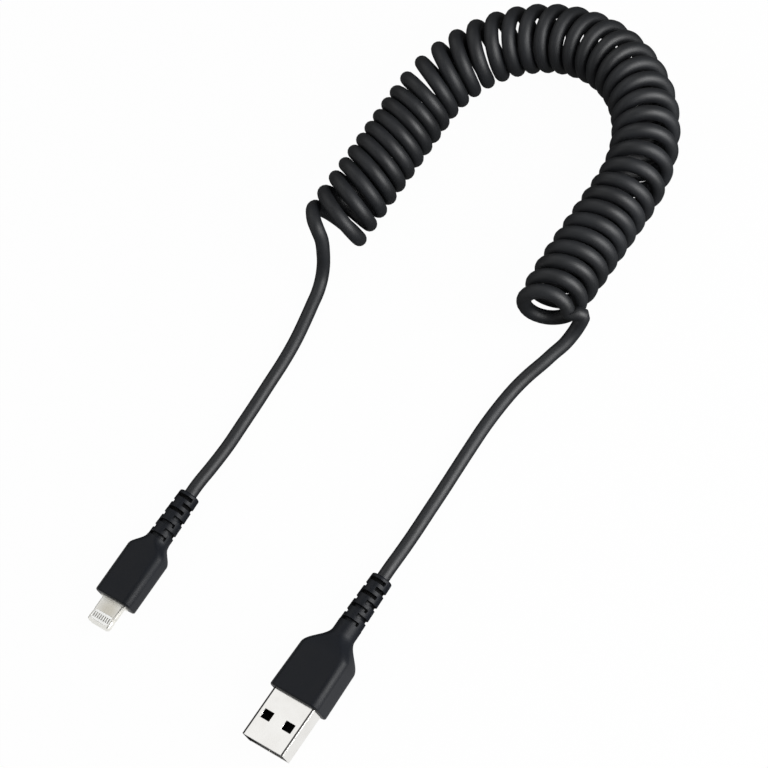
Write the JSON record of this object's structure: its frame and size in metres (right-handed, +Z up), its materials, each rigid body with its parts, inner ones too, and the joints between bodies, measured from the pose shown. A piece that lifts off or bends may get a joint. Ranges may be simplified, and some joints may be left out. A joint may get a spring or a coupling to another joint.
{
  "type": "charging cable",
  "caption": "Curly charging cable: a spring-like black cord between a flat rectangular plug and a slim reversible plug, each with a moulded grip and slotted strain relief.",
  "frame": {"origin": "on the surface the cable lies on, below the middle of the box round the two plugs", "axes": "+Z up from the surface; both plugs point along -Y and the cord leaves them along +Y; +X runs from the slim plug to the rectangular plug"},
  "size_m": [0.0771, 0.1862, 0.0163],
  "materials": {
    "shell_nickel": "satin nickel plate",
    "carrier_black": "moulded, matt",
    "contact_gold": "gold flash over nickel, smooth",
    "wire_red": "smooth insulation",
    "wire_white": "smooth insulation",
    "wire_green": "smooth insulation",
    "wire_black": "smooth insulation",
    "block_natural": "natural moulded plastic",
    "tinned_steel": "tin plate",
    "cord_black": "satin black jacket",
    "overmould_black": "fine matt texture",
    "frame_steel": "satin stainless steel",
    "insert_white": "smooth moulded plastic",
    "contact_plated": "dark plated contact",
    "board_green": "solder mask",
    "chip_black": "matt package",
    "capacitor_tan": "fired ceramic"
  },
  "bodies": {
    "root": {"type_a_shell": "shell_nickel", "type_a_contact_carrier": "carrier_black", "type_a_power_contact": "contact_gold", "type_a_data_minus_contact": "contact_gold", "type_a_data_plus_contact": "contact_gold", "type_a_ground_contact": "contact_gold", "type_a_power_wire": "wire_red", "type_a_data_minus_wire": "wire_white", "type_a_data_plus_wire": "wire_green", "type_a_ground_wire": "wire_black", "type_a_inner_block": "block_natural", "type_a_crimp": "tinned_steel", "type_a_jacket_end": "cord_black", "type_a_overmould": "overmould_black", "tip_frame": "frame_steel", "tip_insert": "insert_white", "tip_top_contacts": "contact_plated", "tip_bottom_contacts": "contact_plated", "tip_circuit_board": "board_green", "tip_control_chip": "chip_black", "tip_capacitors": "capacitor_tan", "tip_shield_can": "tinned_steel", "tip_power_wire": "wire_red", "tip_data_minus_wire": "wire_white", "tip_data_plus_wire": "wire_green", "tip_ground_wire": "wire_black", "tip_inner_block": "block_natural", "tip_crimp": "tinned_steel", "tip_jacket_end": "cord_black", "tip_overmould": "overmould_black", "tip_tail": "cord_black", "curly_cord": "cord_black", "type_a_tail": "cord_black"}
  },
  "joints": []
}
